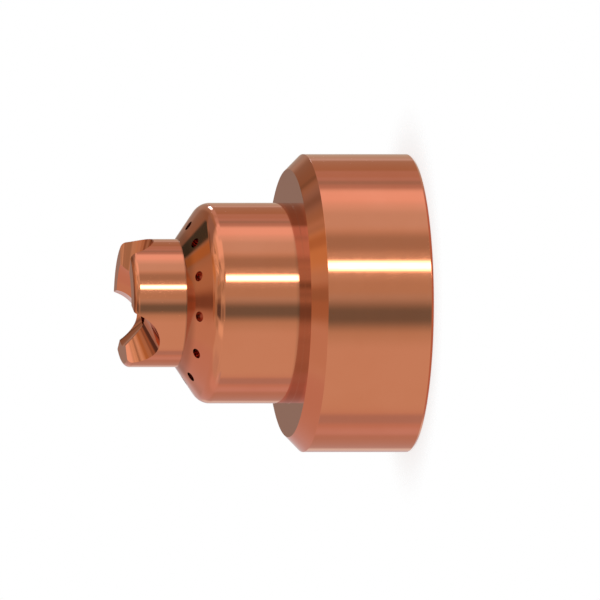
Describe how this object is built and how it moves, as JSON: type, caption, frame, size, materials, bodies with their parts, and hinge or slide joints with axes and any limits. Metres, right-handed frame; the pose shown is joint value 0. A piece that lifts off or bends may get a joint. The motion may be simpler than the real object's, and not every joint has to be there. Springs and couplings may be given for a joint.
{
  "type": "plasma torch shield",
  "caption": "Turned copper shield for a hand plasma torch: a threaded ring, a vented cone and a slotted drag nose round the gas orifice.",
  "frame": {"origin": "centre of the ring's rear face, which the part stands on", "axes": "+Z along the turning axis towards the nose; +X through the middle of one nose slot"},
  "size_m": [0.03, 0.03, 0.0291],
  "materials": {
    "copper": "finely turned and polished copper"
  },
  "bodies": {
    "root": {"shield": "copper"}
  },
  "joints": []
}
